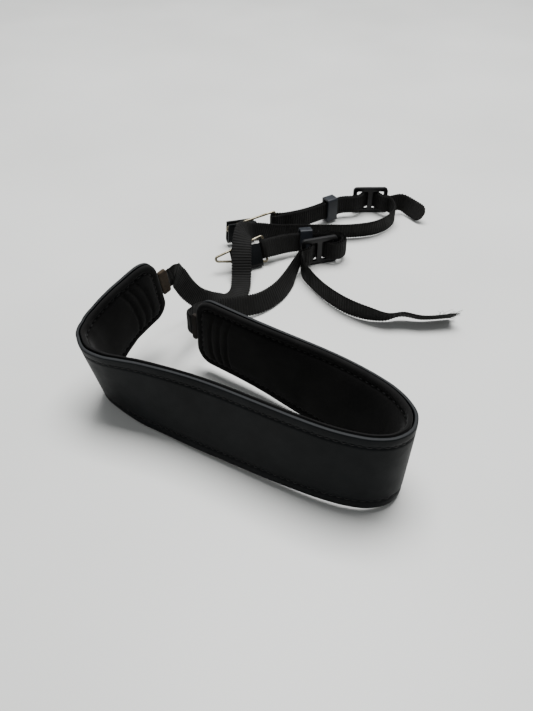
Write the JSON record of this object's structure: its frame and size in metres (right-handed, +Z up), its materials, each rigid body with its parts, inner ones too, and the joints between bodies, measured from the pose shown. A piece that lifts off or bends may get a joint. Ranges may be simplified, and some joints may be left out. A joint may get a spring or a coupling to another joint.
{
  "type": "camera neck strap",
  "caption": "Camera neck strap: a stitched leather neck pad with narrow webbing straps, sliders, keepers and wire lug rings, lying loose as set down.",
  "frame": {"origin": "middle of the underside of the strap's box, on the surface it lies on", "axes": "+Z up from the surface, +Y from the neck pad towards the narrow straps, +X towards the strap's free ends"},
  "size_m": [0.1944, 0.2628, 0.0548],
  "materials": {
    "smooth_leather": "smooth satin black leather with stitching near its edges",
    "suede": "black napped suede lining",
    "raw_leather": "undyed brown split leather, worn",
    "nylon_webbing": "ribbed black nylon webbing",
    "slider_plastic": "moulded black plastic",
    "keeper_plastic": "moulded dark blue-grey plastic",
    "ring_wire": "dull plated wire"
  },
  "bodies": {
    "root": {"neck_leather": "smooth_leather", "neck_lining": "suede", "left_end_tab": "raw_leather", "left_webbing": "nylon_webbing", "left_slider": "slider_plastic", "left_keeper": "keeper_plastic", "left_lug_ring": "ring_wire", "left_lug_tab": "smooth_leather", "right_end_tab": "raw_leather", "right_webbing": "nylon_webbing", "right_slider": "slider_plastic", "right_keeper": "keeper_plastic", "right_lug_ring": "ring_wire", "right_lug_tab": "smooth_leather"}
  },
  "joints": []
}
